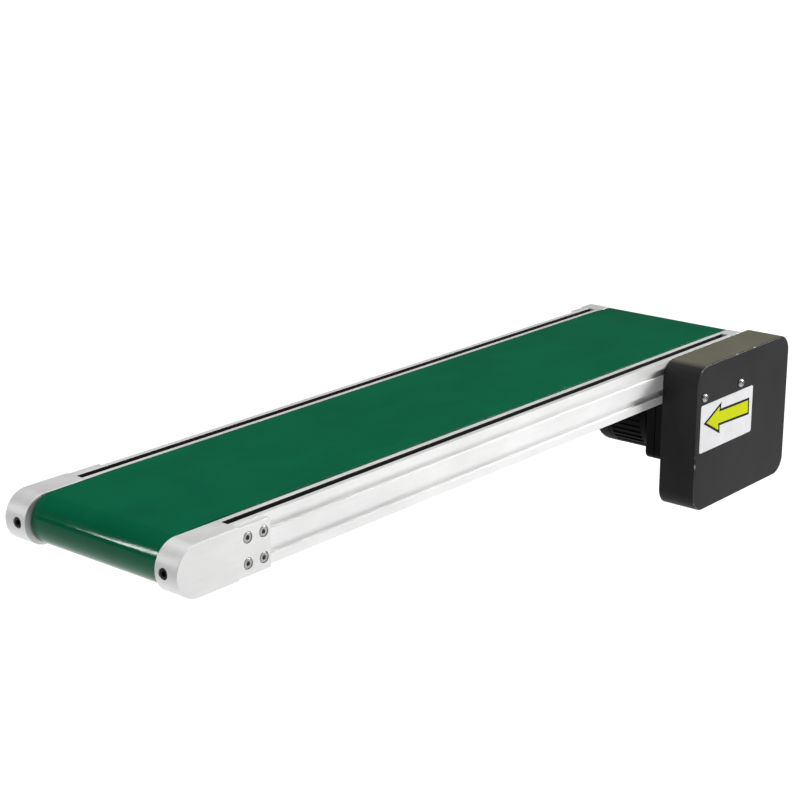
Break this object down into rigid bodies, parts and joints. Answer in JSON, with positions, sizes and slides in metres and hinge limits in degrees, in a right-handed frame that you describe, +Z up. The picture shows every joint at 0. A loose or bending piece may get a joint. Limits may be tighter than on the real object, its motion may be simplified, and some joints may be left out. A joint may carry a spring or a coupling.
{
  "type": "belt conveyor section",
  "caption": "Slim belt conveyor section with T-slotted aluminium side rails, take-up tail, and a covered timing-belt drive with an under-slung gear motor at one end.",
  "frame": {"origin": "middle of the conveyor frame's length, on the belt's centre line, in the plane of the side rails' undersides", "axes": "+X along the conveyor from the tail to the drive end, +Z up, -Y towards the transmission cover"},
  "size_m": [0.972, 0.2699, 0.175],
  "materials": {
    "anodised_aluminium": "satin, clear anodised, fine lengthwise brushing",
    "green_pvc": "smooth glossy PVC belting",
    "zinc_sheet": "bright zinc-plated sheet",
    "machined_steel": "turned and ground steel",
    "zinc_screw": "dull zinc plate",
    "black_oxide_steel": "black oxide",
    "charcoal_paint": "satin charcoal powder coat",
    "black_motor_paint": "satin black paint",
    "label_film": "pale printed film with a plain yellow-green arrow",
    "black_rubber": "matt black",
    "copper_winding": "steel stack with copper-coloured windings"
  },
  "bodies": {
    "frame": {"back_plate_screw_lower": "black_oxide_steel", "back_plate_screw_upper": "black_oxide_steel", "conveyor_belt": "green_pvc", "cover_screw_1": "zinc_screw", "cover_screw_2": "zinc_screw", "cover_standoff_1": "zinc_screw", "cover_standoff_2": "zinc_screw", "direction_label": "label_film", "drive_cross_tie": "anodised_aluminium", "gearbox_housing": "black_motor_paint", "gearbox_screw_lower_1": "black_oxide_steel", "gearbox_screw_lower_2": "black_oxide_steel", "gearbox_screw_upper_1": "black_oxide_steel", "gearbox_screw_upper_2": "black_oxide_steel", "left_drive_bearing": "machined_steel", "left_drive_block": "anodised_aluminium", "left_drive_screw_lower": "zinc_screw", "left_drive_screw_upper": "zinc_screw", "left_drive_slot_nut_lower": "zinc_screw", "left_drive_slot_nut_upper": "zinc_screw", "left_side_rail": "anodised_aluminium", "left_tail_block": "anodised_aluminium", "left_tail_screw_lower_1": "zinc_screw", "left_tail_screw_lower_2": "zinc_screw", "left_tail_screw_upper_1": "zinc_screw", "left_tail_screw_upper_2": "zinc_screw", "left_tail_slot_nut_lower": "zinc_screw", "left_tail_slot_nut_upper": "zinc_screw", "motor_body": "black_motor_paint", "motor_rear_cap": "black_motor_paint", "motor_stator": "copper_winding", "right_drive_bearing": "machined_steel", "right_drive_block": "anodised_aluminium", "right_side_rail": "anodised_aluminium", "right_tail_block": "anodised_aluminium", "right_tail_screw_lower_1": "zinc_screw", "right_tail_screw_lower_2": "zinc_screw", "right_tail_screw_upper_1": "zinc_screw", "right_tail_screw_upper_2": "zinc_screw", "right_tail_slot_nut_lower": "zinc_screw", "right_tail_slot_nut_upper": "zinc_screw", "slider_bed": "zinc_sheet", "standoff_slot_nut": "zinc_screw", "tail_cross_tie": "anodised_aluminium", "timing_belt": "black_rubber", "transmission_back_plate": "zinc_sheet", "transmission_cover": "charcoal_paint"},
    "motor_rotor": {"motor_rotor": "machined_steel"},
    "idler_gear": {"idler_gear": "machined_steel"},
    "output_shaft": {"output_shaft": "machined_steel", "output_gear": "machined_steel", "drive_pulley": "anodised_aluminium"},
    "drive_roller": {"drive_roller": "machined_steel", "driven_pulley": "anodised_aluminium"},
    "take_up_axle": {"tail_axle": "machined_steel"},
    "tail_roller": {"tail_roller_tube": "machined_steel", "left_tail_bearing": "machined_steel", "right_tail_bearing": "machined_steel"},
    "left_tension_screw": {"left_tension_screw": "black_oxide_steel"},
    "right_tension_screw": {"right_tension_screw": "black_oxide_steel"}
  },
  "joints": [
    {"name": "motor_rotor_spin", "type": "hinge", "parent": "frame", "child": "motor_rotor", "pos_m": [0.403, 0, -0.0525], "axis": [0, -1, 0], "continuous": true},
    {"name": "idler_gear_spin", "type": "hinge", "parent": "frame", "child": "idler_gear", "pos_m": [0.42333, 0, -0.03975], "axis": [0, -1, 0], "continuous": true},
    {"name": "output_shaft_spin", "type": "hinge", "parent": "frame", "child": "output_shaft", "pos_m": [0.403, 0, -0.0345], "axis": [0, -1, 0], "continuous": true},
    {"name": "drive_roller_spin", "type": "hinge", "parent": "frame", "child": "drive_roller", "pos_m": [0.455, 0, 0.0252], "axis": [0, -1, 0], "continuous": true},
    {"name": "left_tension_screw_turn", "type": "hinge", "parent": "frame", "child": "left_tension_screw", "pos_m": [-0.473, 0.0965, 0.0252], "axis": [-1, 0, 0], "range_deg": [0, 2880]},
    {"name": "right_tension_screw_turn", "type": "hinge", "parent": "frame", "child": "right_tension_screw", "pos_m": [-0.473, -0.0965, 0.0252], "axis": [-1, 0, 0], "range_deg": [0, 2880]},
    {"name": "tail_take_up", "type": "slide", "parent": "frame", "child": "take_up_axle", "axis": [1, 0, 0], "range_m": [0, 0.008]},
    {"name": "tail_roller_spin", "type": "hinge", "parent": "take_up_axle", "child": "tail_roller", "pos_m": [-0.449, 0, 0.0252], "axis": [0, -1, 0], "continuous": true}
  ],
  "couplings": [
    {"joint": "idler_gear_spin", "follows": "motor_rotor_spin", "ratio": -0.33333},
    {"joint": "output_shaft_spin", "follows": "motor_rotor_spin", "ratio": 0.13333},
    {"joint": "drive_roller_spin", "follows": "motor_rotor_spin", "ratio": 0.13333},
    {"joint": "tail_roller_spin", "follows": "motor_rotor_spin", "ratio": 0.13333},
    {"joint": "left_tension_screw_turn", "follows": "tail_take_up", "rad_per_m": 6283.2},
    {"joint": "right_tension_screw_turn", "follows": "tail_take_up", "rad_per_m": 6283.2}
  ]
}
